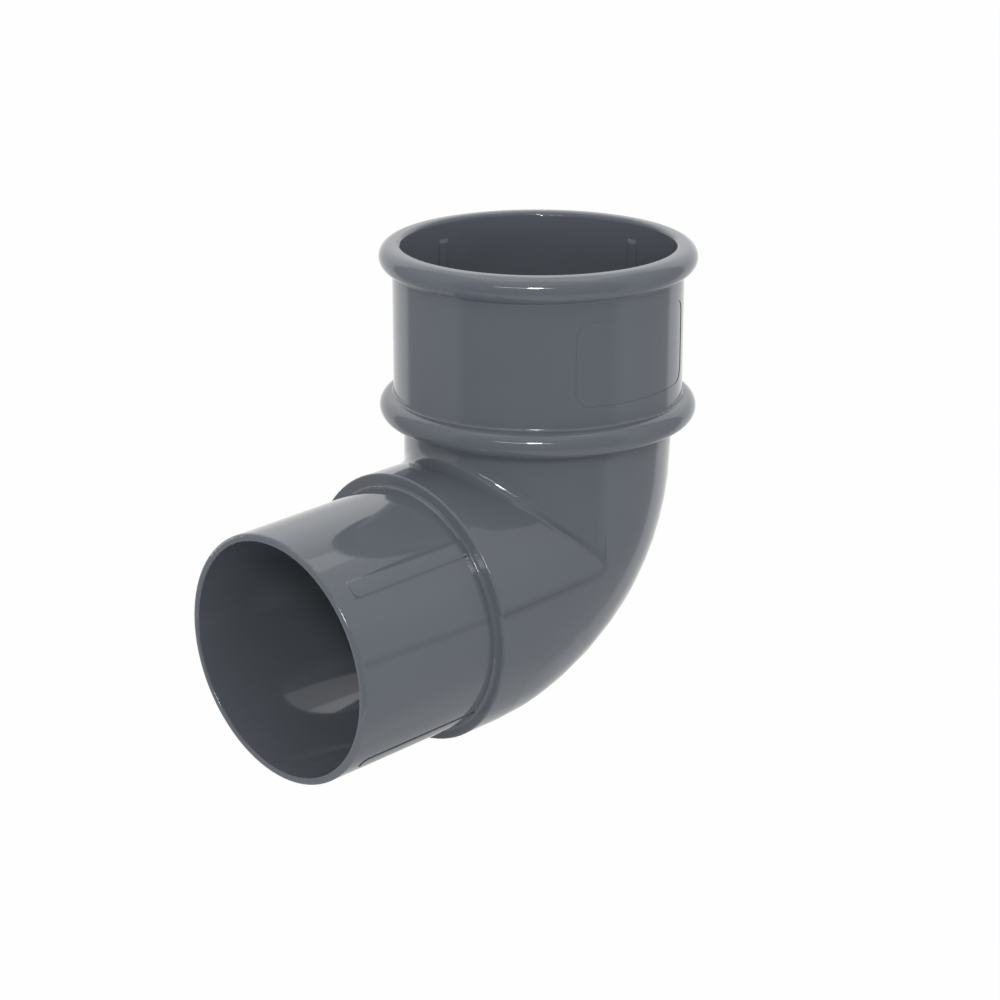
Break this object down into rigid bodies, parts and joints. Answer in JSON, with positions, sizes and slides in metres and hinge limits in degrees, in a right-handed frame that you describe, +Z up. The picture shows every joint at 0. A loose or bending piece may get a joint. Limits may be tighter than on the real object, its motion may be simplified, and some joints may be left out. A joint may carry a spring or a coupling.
{
  "type": "downpipe offset bend",
  "caption": "Moulded elbow for a round rainwater pipe: beaded socket on top, smooth heel with a mitred throat, stepped plain spigot leading off sideways.",
  "frame": {"origin": "on the socket's axis, at the seat inside the socket that stops the pipe", "axes": "+Z up out of the socket along its bore; the spigot leaves towards -X and falls 2.5 degrees"},
  "size_m": [0.1302, 0.0804, 0.1202],
  "materials": {
    "grey_plastic": "gloss"
  },
  "bodies": {
    "root": {"offset_bend": "grey_plastic"}
  },
  "joints": []
}
